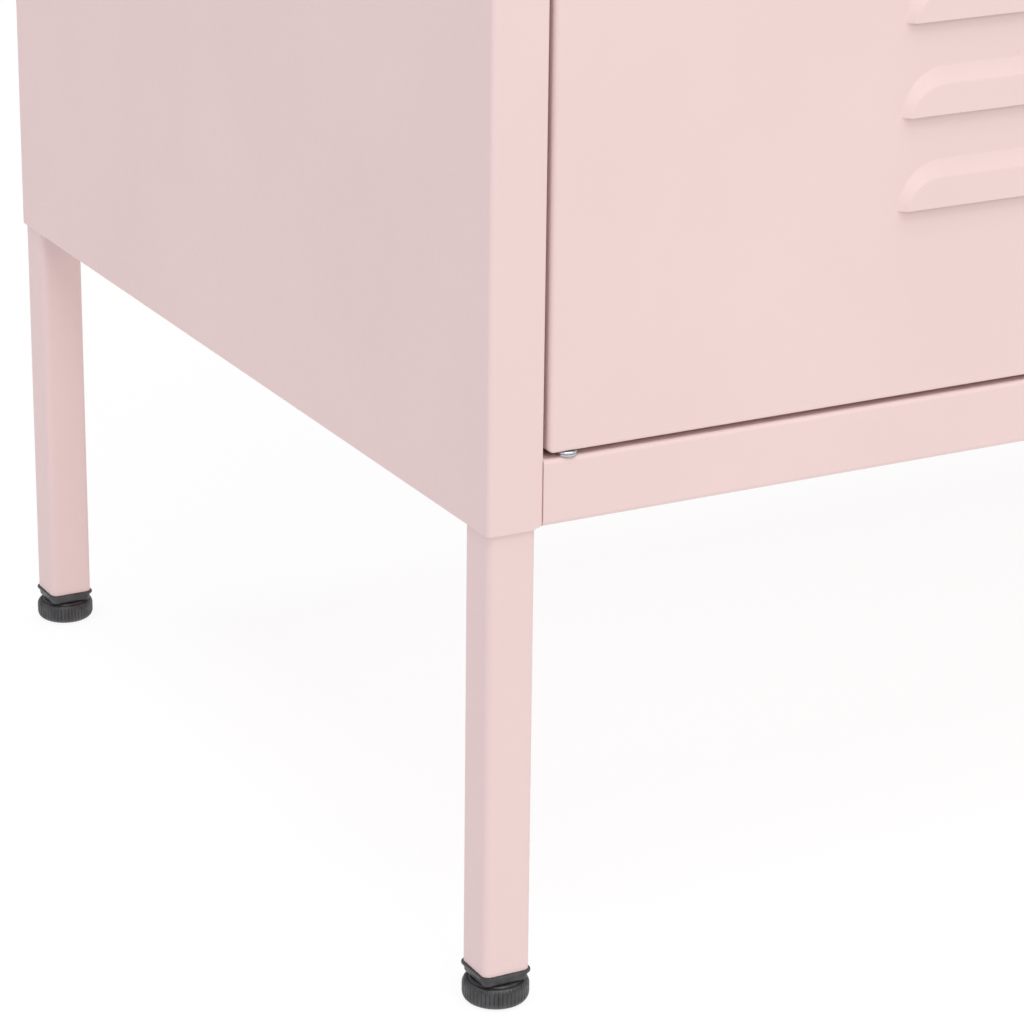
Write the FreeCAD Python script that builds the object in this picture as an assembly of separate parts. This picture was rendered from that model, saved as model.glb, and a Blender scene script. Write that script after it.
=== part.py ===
import FreeCAD, Part
import math
import os

from FreeCAD import Vector

# A two-door locker cabinet of folded, powder-coated steel sheet on four square tube legs.
# Lengths are in millimetres. While it is drawn, x is 0 at the middle, y is 0 at the front face
# and grows towards the back, and z is 0 at the floor. save() then moves y to the box's middle.

# Overall sizes
WIDTH = 800.0
DEPTH = 350.0
HEIGHT = 1015.0
BODY_BOTTOM = 146.4
HALF_WIDTH = WIDTH / 2

# Folded sheet
SHEET = 0.8
BEND = 1.1            # bend radius at the middle of the sheet
MID = SHEET / 2
JOIN = 0.1            # gap left between two sheets that are welded together
FLANGE = 17.2         # width of the front and back faces of the corner channels
CHANNEL_DEPTH = 50.0
CHANNEL_LIP = 14.0
OPENING = HALF_WIDTH - FLANGE
END_GAP = 0.06        # between the ends of the rails and the corner channels
INNER_SPAN = OPENING - END_GAP
FLANGE_CHAMFER_X = 2.8
FLANGE_CHAMFER_Z = 1.5

# Rails above and below the doors
RAIL_LIFT = 0.5       # the rail stops this much above the bottom of the side panels
DOOR_GAP = 1.5
RAIL_GAP = 1.6
DOOR_BOTTOM = 168.0
FLOOR_TOP = DOOR_BOTTOM - RAIL_GAP
RAIL_LIP = 15.0
TAB_START = 0.5       # the tabs at the rail's ends start inside its front sheet
TAB_END = 14.0
DOOR_TOP = HEIGHT - (DOOR_BOTTOM - BODY_BOTTOM)
HEADER_BOTTOM = DOOR_TOP + RAIL_GAP
HEADER_DEPTH = 18.8
REAR_TURN = 16.0
REAR_TURN_FACE = DEPTH - SHEET - JOIN
TOP_UNDERSIDE = HEIGHT - SHEET
FLOOR_SIDE_TURN = 12.0
BACK_FOLD = 13.0
WALL_FIX_SPACING = 600.0
WALL_FIX_Z = 960.0
WALL_FIX_RADIUS = 3.25

# Doors
DOOR_OUTER = OPENING - DOOR_GAP
DOOR_INNER = 0.8
DOOR_DEPTH = 18.0
DOOR_LIP = 12.0
DOOR_SIDE_ROUND = 1.8
DOOR_END_ROUND = 0.5
LOUVRE_COUNT = 4
LOUVRE_PITCH = 27.1
LOUVRE_FIRST = 55.5   # lowest lip above the door's bottom edge
LOUVRE_MARGIN = 111.2  # from the door's outer edge to the louvre's end
LOUVRE_HEIGHT = 14.0
LOUVRE_DEPTH = 2.0
LOUVRE_SLOPE = 5.0    # width of the sloping band between the door's skin and the louvre's face
LOUVRE_ROUND = 2.0
LOUVRE_BASE_INSET = 2.1
STIFFENER_WIDTH = 44.0
STIFFENER_FOOT = 12.0
STIFFENER_DEPTH = 13.0
STIFFENER_LENGTH = 500.0

# Door pivots
PIVOT_INSET = 25.6    # from the cabinet's outer side to the pivot pins
PIVOT_X = HALF_WIDTH - PIVOT_INSET
PIVOT_Y = 2.6
PIN_RADIUS = 1.25
PIN_TAIL = 2.0        # length of the pressed-in pin that shows behind the rail's sheet
PIN_REACH = 10.0
BUSH_RADIUS = 1.75
BUSH_BORE = 1.31
BUSH_LENGTH = 8.0
WASHER_RADIUS = 3.1
WASHER_THICKNESS = 1.45

# Centre partition, strike strip and bumpers
PARTITION_FOLD = 12.0
STRIP_FACE = 20.0
STRIP_WIDTH = 30.0
STRIP_HEM = 24.0
BUMPER_RADIUS = 4.0
BUMPER_THICKNESS = 1.7
BUMPER_X = 7.5
BUMPER_INSET = 60.0

# Shelves and clips
SLOT_FIRST = 205.0
SLOT_PITCH = 80.0
SLOT_COUNT = 10
SLOT_WIDTH = 3.0
SLOT_HEIGHT = 10.0
SHELF_SLOTS = (3, 6)
SHELF_FOLD = 15.0
SHELF_OUTER = OPENING - 1.3
SHELF_INNER = 1.8
SHELF_FRONT = 36.0
SHELF_BACK = DEPTH - 3.5
FRONT_SLOT_Y = 42.0
REAR_SLOT_Y = DEPTH - 42.0
PARTITION_SLOTS = {"left": (60.0, 290.0), "right": (80.0, 270.0)}
CLIP_WIDTH = 10.0
CLIP_SHEET = 1.0
CLIP_LEDGE = 12.0
CLIP_HOOK = 2.2
CLIP_TAIL = 4.0
CLIP_TONGUE = 2.0     # width of the tongue, and its distance from the slot's ends

# Locks, one in each door near the middle of the cabinet
LOCK_X = 30.8
LOCK_Z = 600.0
LOCK_FLANGE_RADIUS = 11.0
LOCK_FLANGE = 2.5
LOCK_RIM_ROUND = 1.0
LOCK_RADIUS = 9.0
LOCK_HOLE_RADIUS = 9.3
LOCK_BORE = 6.06
LOCK_LENGTH = 23.0
PLUG_RADIUS = 6.0
PLUG_HEAD_GAP = 0.3
NUT_RADIUS = 13.0
NUT_THICKNESS = 4.0
CAM_FACE = 25.5
CAM_THICKNESS = 2.0
CAM_WIDTH = 14.0
CAM_REACH = 25.0
CAM_SCREW_RADIUS = 4.0
CAM_SCREW_HEAD = 2.5
CAM_SCREW_SHANK = 1.5
CAM_SCREW_ROUND = 1.0
KEY_GAP = 0.1
KEY_THICKNESS = 2.0
KEY_BLADE_WIDTH = 7.0
KEY_BLADE_LENGTH = 19.0
KEY_NECK = 5.0
KEY_NECK_WIDTH = 10.0
KEY_BOW_RADIUS = 10.5
KEY_RING_RADIUS = 3.5
KEY_BOW_OVERLAP = 1.0
KEY_ROUND = 0.4

# Legs and feet
TUBE = 15.0
TUBE_WALL = 1.2
TUBE_ROUND = 2.3
LEG_INSET = SHEET     # each leg stands against the inside of the skins
LEG_BOTTOM = 10.7
LEG_TOP = BODY_BOTTOM + 130.0
COLLAR_WIDTH = 14.8
COLLAR_BOTTOM = 7.5
COLLAR_ROUND = 2.2
COLLAR_LIP_WIDTH = 16.4
COLLAR_LIP = 0.9
COLLAR_LIP_ROUND = 2.9
INSERT_WIDTH = 12.3
INSERT_TOP = 37.1
STEM_RADIUS = 4.0
STEM_BORE = 4.06
STEM_TOP = 35.1
FOOT_RADIUS = 9.85
FOOT_HOLLOW = 0.5     # depth of the flutes between the foot's ribs
FOOT_RIBS = 48
FOOT_TOP = 6.7
FOOT_CHAMFER = 1.2

# Cutting shapes reach this far past what they cut
OVERCUT = 1.0

LEG_X = HALF_WIDTH - LEG_INSET - TUBE / 2
LEG_ROWS = {"front": LEG_INSET + TUBE / 2, "rear": DEPTH - LEG_INSET - TUBE / 2}
SIDES = {"left": -1, "right": 1}

# The most forward point is the key, and the most rearward is the rim of a rear foot
KEY_FRONT = -(LOCK_FLANGE + PLUG_HEAD_GAP + KEY_NECK + 2 * KEY_BOW_RADIUS - KEY_BOW_OVERLAP)
FOOT_REAR = LEG_ROWS["rear"] + FOOT_RADIUS
Y_SHIFT = -(KEY_FRONT + FOOT_REAR) / 2


def save(name, shape):
    """Write one node, moved so that the origin is below the middle of the whole object."""
    moved = shape.copy()
    moved.translate(Vector(0, Y_SHIFT, 0))
    moved.exportStep("parts/" + name + ".step")


def box(x_low, x_high, y_low, y_high, z_low, z_high):
    size = (x_high - x_low, y_high - y_low, z_high - z_low)
    return Part.makeBox(*size, Vector(x_low, y_low, z_low))


def square_box(x_centre, y_centre, width, z_low, z_high, corner_round):
    """An upright square bar with its four upright edges rounded."""
    half = width / 2
    bar = box(x_centre - half, x_centre + half, y_centre - half, y_centre + half, z_low, z_high)
    upright = [edge for edge in bar.Edges if is_upright(edge)]
    return bar.makeFillet(corner_round, upright)


def is_upright(edge):
    bounds = edge.BoundBox
    return bounds.ZLength > bounds.XLength + bounds.YLength


def upright_rod(radius, x, y, z_low, z_high):
    return Part.makeCylinder(radius, z_high - z_low, Vector(x, y, z_low))


def level_rod(radius, x, z, y_low, y_high):
    return Part.makeCylinder(radius, y_high - y_low, Vector(x, y_low, z), Vector(0, 1, 0))


def on_side(shape, side):
    """Parts are drawn for the right-hand side and mirrored for the left."""
    if side == "right":
        return shape
    return shape.mirror(Vector(0, 0, 0), Vector(1, 0, 0))


def left_normal(direction):
    return Vector(-direction.y, direction.x, 0)


def unit(vector):
    return vector * (1.0 / vector.Length)


def sheet_edges(points, offset):
    """Edges of the line that runs beside a folded sheet's middle line, at a signed distance."""
    edges = []
    start = points[0] + left_normal(unit(points[1] - points[0])) * offset
    for before, corner, after in zip(points, points[1:], points[2:]):
        arriving = unit(corner - before)
        leaving = unit(after - corner)
        turn = math.copysign(1.0, arriving.cross(leaving).z)
        cut = BEND * math.tan(arriving.getAngle(leaving) / 2)
        centre = corner - arriving * cut + left_normal(arriving) * (BEND * turn)
        arc_start = corner - arriving * cut + left_normal(arriving) * offset
        arc_middle = centre + unit(corner - centre) * (BEND - offset * turn)
        arc_end = corner + leaving * cut + left_normal(leaving) * offset
        edges.append(Part.LineSegment(start, arc_start).toShape())
        edges.append(Part.Arc(arc_start, arc_middle, arc_end).toShape())
        start = arc_end
    end = points[-1] + left_normal(unit(points[-1] - points[-2])) * offset
    edges.append(Part.LineSegment(start, end).toShape())
    return edges


def sheet_face(middle_line):
    """The cross-section of a folded sheet, flat in the XY plane, from its middle line."""
    points = [Vector(u, v, 0) for u, v in middle_line]
    first = sheet_edges(points, MID)
    second = sheet_edges(points, -MID)
    caps = []
    for end in (0, -1):
        near = first[end].Vertexes[end].Point
        far = second[end].Vertexes[end].Point
        caps.append(Part.LineSegment(near, far).toShape())
    return Part.Face(Part.Wire(Part.__sortEdges__(first + second + caps)))


def upright_sheet(middle_line, z_low, z_high):
    """A sheet whose section is given in X and Y, standing from z_low to z_high."""
    face = sheet_face(middle_line)
    face.translate(Vector(0, 0, z_low))
    return face.extrude(Vector(0, 0, z_high - z_low))


def level_sheet(middle_line, x_low, x_high):
    """A sheet whose section is given in Y and Z, running from x_low to x_high."""
    face = sheet_face(middle_line)
    turn = FreeCAD.Rotation(Vector(0, 1, 0), Vector(0, 0, 1), Vector(1, 0, 0))
    face.transformShape(FreeCAD.Placement(Vector(x_low, 0, 0), turn).toMatrix())
    return face.extrude(Vector(x_high - x_low, 0, 0))


def slot_heights():
    return [SLOT_FIRST + SLOT_PITCH * step for step in range(SLOT_COUNT)]


def slot(wall_x, y, z):
    half = SLOT_WIDTH / 2
    return box(wall_x - 2 * SHEET, wall_x + 2 * SHEET, y - half, y + half, z, z + SLOT_HEIGHT)


def side_panel():
    """Side skin with a channel folded round each leg; the front channel's face frames the door."""
    outer = HALF_WIDTH - MID
    inner = OPENING + MID
    lip_end = inner + CHANNEL_LIP
    front_end = CHANNEL_DEPTH - MID
    rear_end = DEPTH - CHANNEL_DEPTH + MID
    middle_line = [
        (lip_end, front_end), (inner, front_end), (inner, MID), (outer, MID),
        (outer, DEPTH - MID), (inner, DEPTH - MID), (inner, rear_end), (lip_end, rear_end),
    ]
    panel = upright_sheet(middle_line, BODY_BOTTOM, TOP_UNDERSIDE)
    cuts = [slot(inner, y, z) for y in (FRONT_SLOT_Y, REAR_SLOT_Y) for z in slot_heights()]
    cuts.append(flange_chamfer())
    return panel.cut(Part.makeCompound(cuts))


def flange_chamfer():
    """The cut-off lower inner corner of the front flange."""
    corner = [
        Vector(OPENING, -SHEET, BODY_BOTTOM),
        Vector(OPENING + FLANGE_CHAMFER_X, -SHEET, BODY_BOTTOM),
        Vector(OPENING, -SHEET, BODY_BOTTOM + FLANGE_CHAMFER_Z),
        Vector(OPENING, -SHEET, BODY_BOTTOM),
    ]
    return Part.Face(Part.makePolygon(corner)).extrude(Vector(0, 3 * SHEET, 0))


def bottom_panel():
    """Cabinet floor, with the front rail folded down from it and a tab at each of its ends."""
    rail_bottom = BODY_BOTTOM + RAIL_LIFT + MID
    floor = FLOOR_TOP - MID
    rear = REAR_TURN_FACE - MID
    middle_line = [
        (RAIL_LIP, rail_bottom), (MID, rail_bottom), (MID, floor),
        (rear, floor), (rear, floor - REAR_TURN),
    ]
    panel = level_sheet(middle_line, -INNER_SPAN, INNER_SPAN)
    wings = [on_side(floor_wing(), side) for side in SIDES]
    tab = box(INNER_SPAN - SHEET, INNER_SPAN, TAB_START, TAB_END, rail_bottom, floor)
    tabs = [on_side(tab, side) for side in SIDES]
    panel = panel.fuse(wings + tabs).removeSplitter()
    return panel.cut(pin_holes(FLOOR_TOP - 2 * SHEET, FLOOR_TOP + SHEET))


def pin_holes(z_low, z_high):
    holes = [upright_rod(PIN_RADIUS, sign * PIVOT_X, PIVOT_Y, z_low, z_high)
             for sign in SIDES.values()]
    return Part.makeCompound(holes)


def floor_wing():
    """The part of the floor that reaches the side skin between the two channels."""
    front = CHANNEL_DEPTH + JOIN
    back = DEPTH - CHANNEL_DEPTH - JOIN
    edge = HALF_WIDTH - SHEET - JOIN
    plate = box(INNER_SPAN, edge, front, back, FLOOR_TOP - SHEET, FLOOR_TOP)
    turn = box(edge - SHEET, edge, front, back, FLOOR_TOP - FLOOR_SIDE_TURN, FLOOR_TOP)
    return plate.fuse(turn)


def top_panel():
    """Top skin, with the header above the doors folded down and back from its front edge."""
    plate = HEIGHT - MID
    header = HEADER_BOTTOM + MID
    middle_line = [
        (HEADER_DEPTH - MID, header + REAR_TURN / 2), (HEADER_DEPTH - MID, header), (MID, header),
        (MID, plate), (DEPTH, plate),
    ]
    panel = level_sheet(middle_line, -INNER_SPAN, INNER_SPAN)
    ends = [box(*span, 0, DEPTH, HEIGHT - SHEET, HEIGHT)
            for span in ((-HALF_WIDTH, -INNER_SPAN), (INNER_SPAN, HALF_WIDTH))]
    rear_low = HEIGHT - SHEET - REAR_TURN
    rear = box(-INNER_SPAN, INNER_SPAN, REAR_TURN_FACE - SHEET, REAR_TURN_FACE, rear_low, HEIGHT - MID)
    panel = panel.fuse(ends + [rear]).removeSplitter()
    return panel.cut(pin_holes(HEADER_BOTTOM - SHEET, HEADER_BOTTOM + 2 * SHEET))


def back_panel():
    """Back skin between the rear channels, with folded sides and two wall-fixing holes."""
    low = FLOOR_TOP + 2 * SHEET
    high = HEIGHT - REAR_TURN - 2 * SHEET
    side = INNER_SPAN - MID
    skin = DEPTH - MID
    middle_line = [(-side, skin - BACK_FOLD), (-side, skin), (side, skin), (side, skin - BACK_FOLD)]
    middle = upright_sheet(middle_line, low, high)
    ends = [box(-side, side, DEPTH - SHEET, DEPTH, *span)
            for span in ((BODY_BOTTOM, low), (high, TOP_UNDERSIDE))]
    holes = [level_rod(WALL_FIX_RADIUS, sign * WALL_FIX_SPACING / 2, WALL_FIX_Z,
                       DEPTH - 2 * SHEET, DEPTH + SHEET) for sign in SIDES.values()]
    return middle.fuse(ends).removeSplitter().cut(Part.makeCompound(holes))


def centre_partition():
    """Upright sheet between the two lockers, folded at its front and back edges."""
    front = STRIP_FACE + SHEET + MID
    back = REAR_TURN_FACE - SHEET - JOIN - MID
    middle_line = [(-PARTITION_FOLD, front), (0, front), (0, back), (-PARTITION_FOLD, back)]
    panel = upright_sheet(middle_line, FLOOR_TOP, TOP_UNDERSIDE)
    cuts = [slot(0, y, z) for row in PARTITION_SLOTS.values() for y in row for z in slot_heights()]
    return panel.cut(Part.makeCompound(cuts))


def strike_strip():
    """Strip along the partition's front edge, which the doors close against and the cams hold."""
    side = STRIP_WIDTH / 2 - MID
    face = STRIP_FACE + MID
    middle_line = [(-side, STRIP_HEM), (-side, face), (side, face), (side, STRIP_HEM)]
    return upright_sheet(middle_line, FLOOR_TOP, TOP_UNDERSIDE)


def door_bumpers():
    heights = (DOOR_BOTTOM + BUMPER_INSET, DOOR_TOP - BUMPER_INSET)
    pads = [level_rod(BUMPER_RADIUS, sign * BUMPER_X, z, STRIP_FACE - BUMPER_THICKNESS, STRIP_FACE)
            for sign in SIDES.values() for z in heights]
    return Part.makeCompound(pads)


def hood(x_low, x_high):
    """A louvre's raised solid, with its lower edge at z = 0 and a quarter-round at each end."""
    face_radius = LOUVRE_HEIGHT - LOUVRE_SLOPE
    solid = raised_block(x_low, x_high, LOUVRE_HEIGHT, face_radius, LOUVRE_DEPTH)
    brow = [edge for edge in solid.Edges if is_brow(edge)]
    return solid.makeFillet(LOUVRE_ROUND, brow)


def is_brow(edge):
    """True for the edges round a louvre's flat face, except its straight lower edge."""
    bounds = edge.BoundBox
    return bounds.YMax < -LOUVRE_DEPTH / 2 and bounds.ZMax > SHEET


def hood_hollow(x_low, x_high):
    """The space behind a louvre, one sheet thickness inside it, and the hole in the skin."""
    base_radius = LOUVRE_HEIGHT - LOUVRE_BASE_INSET
    face_radius = LOUVRE_HEIGHT - LOUVRE_SLOPE - SHEET / 2
    low = x_low + LOUVRE_BASE_INSET
    high = x_high - LOUVRE_BASE_INSET
    space = raised_block(low, high, base_radius, face_radius, LOUVRE_DEPTH - SHEET)
    opening = raised_block(low, high, base_radius, base_radius, 2 * SHEET)
    return space.fuse(opening.translated(Vector(0, 2 * SHEET, 0)))


def raised_block(x_low, x_high, base_radius, face_radius, depth):
    """A block raised forwards from the door's skin, narrowing from base_radius to face_radius."""
    left = x_low + base_radius
    right = x_high - base_radius
    profile = [Vector(left, 0, 0), Vector(left, 0, base_radius), Vector(left, -depth, face_radius),
               Vector(left, -depth, 0), Vector(left, 0, 0)]
    middle = Part.Face(Part.makePolygon(profile)).extrude(Vector(right - left, 0, 0))
    ends = [quarter_round(x, base_radius, face_radius, depth) for x in (left, right)]
    clip_box = box(x_low, x_high, -depth, 0, 0, base_radius)
    return middle.fuse(ends).common(clip_box).removeSplitter()


def quarter_round(x, base_radius, face_radius, depth):
    if base_radius == face_radius:
        return Part.makeCylinder(base_radius, depth, Vector(x, 0, 0), Vector(0, -1, 0))
    return Part.makeCone(base_radius, face_radius, depth, Vector(x, 0, 0), Vector(0, -1, 0))


def louvre_lips():
    """Heights of the louvres' lower edges: one set near the door's foot and one near its head."""
    foot = [DOOR_BOTTOM + LOUVRE_FIRST + LOUVRE_PITCH * step for step in range(LOUVRE_COUNT)]
    head_first = DOOR_TOP - LOUVRE_FIRST - LOUVRE_PITCH * (LOUVRE_COUNT - 1) - LOUVRE_HEIGHT
    head = [head_first + LOUVRE_PITCH * step for step in range(LOUVRE_COUNT)]
    return foot + head


def door_pan():
    """The door's folded pan: front skin, four edges turned back and a lip turned inwards."""
    pan = box(DOOR_INNER, DOOR_OUTER, 0, DOOR_DEPTH, DOOR_BOTTOM, DOOR_TOP)
    pan = pan.makeFillet(DOOR_SIDE_ROUND, front_edges(pan, is_upright))
    pan = pan.makeFillet(DOOR_END_ROUND, front_edges(pan, is_level))
    hollow = box(DOOR_INNER + SHEET, DOOR_OUTER - SHEET, SHEET, DOOR_DEPTH - SHEET,
                 DOOR_BOTTOM + SHEET, DOOR_TOP - SHEET)
    hollow = hollow.makeFillet(DOOR_SIDE_ROUND - SHEET, front_edges(hollow, is_upright))
    mouth = box(DOOR_INNER + DOOR_LIP, DOOR_OUTER - DOOR_LIP,
                DOOR_DEPTH - 2 * SHEET, DOOR_DEPTH + SHEET,
                DOOR_BOTTOM + DOOR_LIP, DOOR_TOP - DOOR_LIP)
    return pan.cut([hollow, mouth])


def front_edges(shape, wanted):
    return [edge for edge in shape.Edges if edge.BoundBox.YMax < 2 * SHEET and wanted(edge)]


def is_level(edge):
    return edge.BoundBox.XLength > LOUVRE_MARGIN


def door():
    """The right door: its pan with pressed louvres, two pivot holes and the lock's hole."""
    left = DOOR_INNER + LOUVRE_MARGIN
    right = DOOR_OUTER - LOUVRE_MARGIN
    raised = hood(left, right)
    hollow = hood_hollow(left, right)
    lifts = [Vector(0, 0, z) for z in louvre_lips()]
    pan = door_pan().fuse([raised.translated(lift) for lift in lifts])
    holes = [hollow.translated(lift) for lift in lifts]
    holes.append(level_rod(LOCK_HOLE_RADIUS, LOCK_X, LOCK_Z, -SHEET, 2 * SHEET))
    for z_low in (DOOR_BOTTOM - SHEET, DOOR_TOP - 2 * SHEET):
        holes.append(upright_rod(BUSH_RADIUS, PIVOT_X, PIVOT_Y, z_low, z_low + 3 * SHEET))
    return pan.cut(holes)


def door_stiffener():
    """Hat-section channel on the back of the door's skin, between the two sets of louvres."""
    centre = (DOOR_INNER + DOOR_OUTER) / 2
    half = STIFFENER_WIDTH / 2
    foot = SHEET + MID
    crown = STIFFENER_DEPTH
    middle_line = [
        (centre - half - STIFFENER_FOOT, foot), (centre - half, foot), (centre - half, crown),
        (centre + half, crown), (centre + half, foot), (centre + half + STIFFENER_FOOT, foot),
    ]
    low = (DOOR_BOTTOM + DOOR_TOP - STIFFENER_LENGTH) / 2
    return upright_sheet(middle_line, low, low + STIFFENER_LENGTH)


def bush(z_low):
    sleeve = upright_rod(BUSH_RADIUS, PIVOT_X, PIVOT_Y, z_low, z_low + BUSH_LENGTH)
    bore = upright_rod(BUSH_BORE, PIVOT_X, PIVOT_Y, z_low - OVERCUT, z_low + BUSH_LENGTH + OVERCUT)
    return sleeve.cut(bore)


def pivot_bushes():
    return Part.makeCompound([bush(DOOR_BOTTOM), bush(DOOR_TOP - BUSH_LENGTH)])


def lower_pin():
    """Pin pressed through the front rail, up into the door's lower bush."""
    foot = FLOOR_TOP - SHEET - PIN_TAIL
    return upright_rod(PIN_RADIUS, PIVOT_X, PIVOT_Y, foot, DOOR_BOTTOM + PIN_REACH)


def upper_pin():
    """Pin pressed through the header, down into the door's upper bush."""
    head = HEADER_BOTTOM + SHEET + PIN_TAIL
    return upright_rod(PIN_RADIUS, PIVOT_X, PIVOT_Y, DOOR_TOP - PIN_REACH, head)


def pivot_washer():
    disc = upright_rod(WASHER_RADIUS, PIVOT_X, PIVOT_Y, FLOOR_TOP, FLOOR_TOP + WASHER_THICKNESS)
    return disc.cut(upright_rod(PIN_RADIUS, PIVOT_X, PIVOT_Y, FLOOR_TOP - OVERCUT, DOOR_BOTTOM))


def shelf():
    """Shelf tray with all four edges turned down; its lower rim rests on the clips."""
    return box(SHELF_INNER, SHELF_OUTER, SHELF_FRONT, SHELF_BACK, 0, SHELF_FOLD).cut(
        box(SHELF_INNER + SHEET, SHELF_OUTER - SHEET, SHELF_FRONT + SHEET, SHELF_BACK - SHEET,
            -SHEET, SHELF_FOLD - SHEET))


def clip(wall_x, inward, y, rest_z):
    """Shelf clip: an upright plate on the wall, a ledge under the shelf and a hook in the slot."""
    half = CLIP_WIDTH / 2
    plate = wall_x + inward * CLIP_SHEET
    ledge = wall_x + inward * CLIP_LEDGE
    hook = wall_x - inward * CLIP_HOOK
    spans = [sorted((wall_x, plate)), sorted((wall_x, ledge)), sorted((wall_x, hook))]
    upright = box(*spans[0], y - half, y + half, rest_z - CLIP_TAIL, rest_z + SLOT_HEIGHT)
    shelf_ledge = box(*spans[1], y - half, y + half, rest_z - CLIP_SHEET, rest_z)
    tongue = box(*spans[2], y - CLIP_TONGUE / 2, y + CLIP_TONGUE / 2,
                 rest_z + CLIP_TONGUE, rest_z + SLOT_HEIGHT - CLIP_TONGUE)
    return upright.fuse([shelf_ledge, tongue])


def shelf_clips(side):
    """The eight clips of one locker's two shelves."""
    sign = SIDES[side]
    clips = []
    for step in SHELF_SLOTS:
        rest_z = slot_heights()[step]
        clips += [clip(sign * OPENING, -sign, y, rest_z) for y in (FRONT_SLOT_Y, REAR_SLOT_Y)]
        clips += [clip(sign * MID, sign, y, rest_z) for y in PARTITION_SLOTS[side]]
    return Part.makeCompound(clips)


def lock_housing():
    barrel = level_rod(LOCK_RADIUS, LOCK_X, LOCK_Z, 0, LOCK_LENGTH)
    flange = level_rod(LOCK_FLANGE_RADIUS, LOCK_X, LOCK_Z, -LOCK_FLANGE, 0)
    rim = [edge for edge in flange.Edges if edge.BoundBox.YMax < -SHEET]
    bore = level_rod(LOCK_BORE, LOCK_X, LOCK_Z, -2 * LOCK_FLANGE, 2 * LOCK_LENGTH)
    return flange.makeFillet(LOCK_RIM_ROUND, rim).fuse(barrel).cut(bore)


def lock_nut():
    corner = Vector(NUT_RADIUS, 0, 0)
    turns = [FreeCAD.Rotation(Vector(0, 1, 0), 60 * step) for step in range(7)]
    points = [Vector(LOCK_X, SHEET, LOCK_Z) + turn.multVec(corner) for turn in turns]
    hexagon = Part.Face(Part.makePolygon(points)).extrude(Vector(0, NUT_THICKNESS, 0))
    return hexagon.cut(level_rod(LOCK_RADIUS, LOCK_X, LOCK_Z, 0, 2 * NUT_THICKNESS))


def key_slot(gap):
    """The space of the key's blade, with a gap all round."""
    half_thick = KEY_THICKNESS / 2 + gap
    half_wide = KEY_BLADE_WIDTH / 2 + gap
    plug_face = -LOCK_FLANGE - PLUG_HEAD_GAP
    return box(LOCK_X - half_thick, LOCK_X + half_thick,
               plug_face - gap, plug_face + KEY_BLADE_LENGTH + gap,
               LOCK_Z - half_wide, LOCK_Z + half_wide)


def lock_plug():
    plug = level_rod(PLUG_RADIUS, LOCK_X, LOCK_Z, -LOCK_FLANGE - PLUG_HEAD_GAP, CAM_FACE)
    screw_hole = level_rod(CAM_SCREW_SHANK, LOCK_X, LOCK_Z, KEY_BLADE_LENGTH, CAM_FACE + OVERCUT)
    return plug.cut([key_slot(KEY_GAP), screw_hole])


def lock_cam():
    """Cam tongue, pointing down while the lock is open."""
    half = CAM_WIDTH / 2
    cam_back = CAM_FACE + CAM_THICKNESS
    tongue = box(LOCK_X - half, LOCK_X + half, CAM_FACE, cam_back, LOCK_Z - CAM_REACH, LOCK_Z)
    corners = [edge for edge in tongue.Edges
               if edge.BoundBox.YLength > SHEET and edge.BoundBox.ZMax < LOCK_Z - CAM_WIDTH]
    tongue = tongue.makeFillet(CAM_WIDTH / 4, corners)
    hub = level_rod(half, LOCK_X, LOCK_Z, CAM_FACE, cam_back)
    hole = level_rod(CAM_SCREW_SHANK, LOCK_X, LOCK_Z, CAM_FACE - OVERCUT, cam_back + OVERCUT)
    return tongue.fuse(hub).removeSplitter().cut(hole)


def cam_screw():
    cam_back = CAM_FACE + CAM_THICKNESS
    head = level_rod(CAM_SCREW_RADIUS, LOCK_X, LOCK_Z, cam_back, cam_back + CAM_SCREW_HEAD)
    rim = [edge for edge in head.Edges if edge.BoundBox.YMin > cam_back + SHEET]
    shank = level_rod(CAM_SCREW_SHANK, LOCK_X, LOCK_Z, KEY_BLADE_LENGTH + OVERCUT, cam_back)
    return head.makeFillet(CAM_SCREW_ROUND, rim).fuse(shank)


def key():
    """Flat key standing upright in the plug: blade, neck and a round bow with a ring hole."""
    blade = key_slot(0)
    plug_face = -LOCK_FLANGE - PLUG_HEAD_GAP
    half = KEY_THICKNESS / 2
    neck = box(LOCK_X - half, LOCK_X + half, plug_face - KEY_NECK, plug_face,
               LOCK_Z - KEY_NECK_WIDTH / 2, LOCK_Z + KEY_NECK_WIDTH / 2)
    bow_y = KEY_FRONT + KEY_BOW_RADIUS
    bow = crosswise_rod(KEY_BOW_RADIUS, bow_y, KEY_THICKNESS)
    bow = bow.makeFillet(KEY_ROUND, [edge for edge in bow.Edges if edge.BoundBox.XLength < SHEET])
    ring = crosswise_rod(KEY_RING_RADIUS, bow_y - KEY_RING_RADIUS, 2 * KEY_THICKNESS)
    return bow.fuse([neck, blade]).removeSplitter().cut(ring)


def crosswise_rod(radius, y, length):
    """A rod along x, centred on the key."""
    return Part.makeCylinder(radius, length, Vector(LOCK_X - length / 2, y, LOCK_Z), Vector(1, 0, 0))


def leg(x, y):
    tube = square_box(x, y, TUBE, LEG_BOTTOM, LEG_TOP, TUBE_ROUND)
    hollow = square_box(x, y, TUBE - 2 * TUBE_WALL, LEG_BOTTOM - OVERCUT, LEG_TOP + OVERCUT,
                        TUBE_ROUND - TUBE_WALL)
    return tube.cut(hollow)


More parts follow.
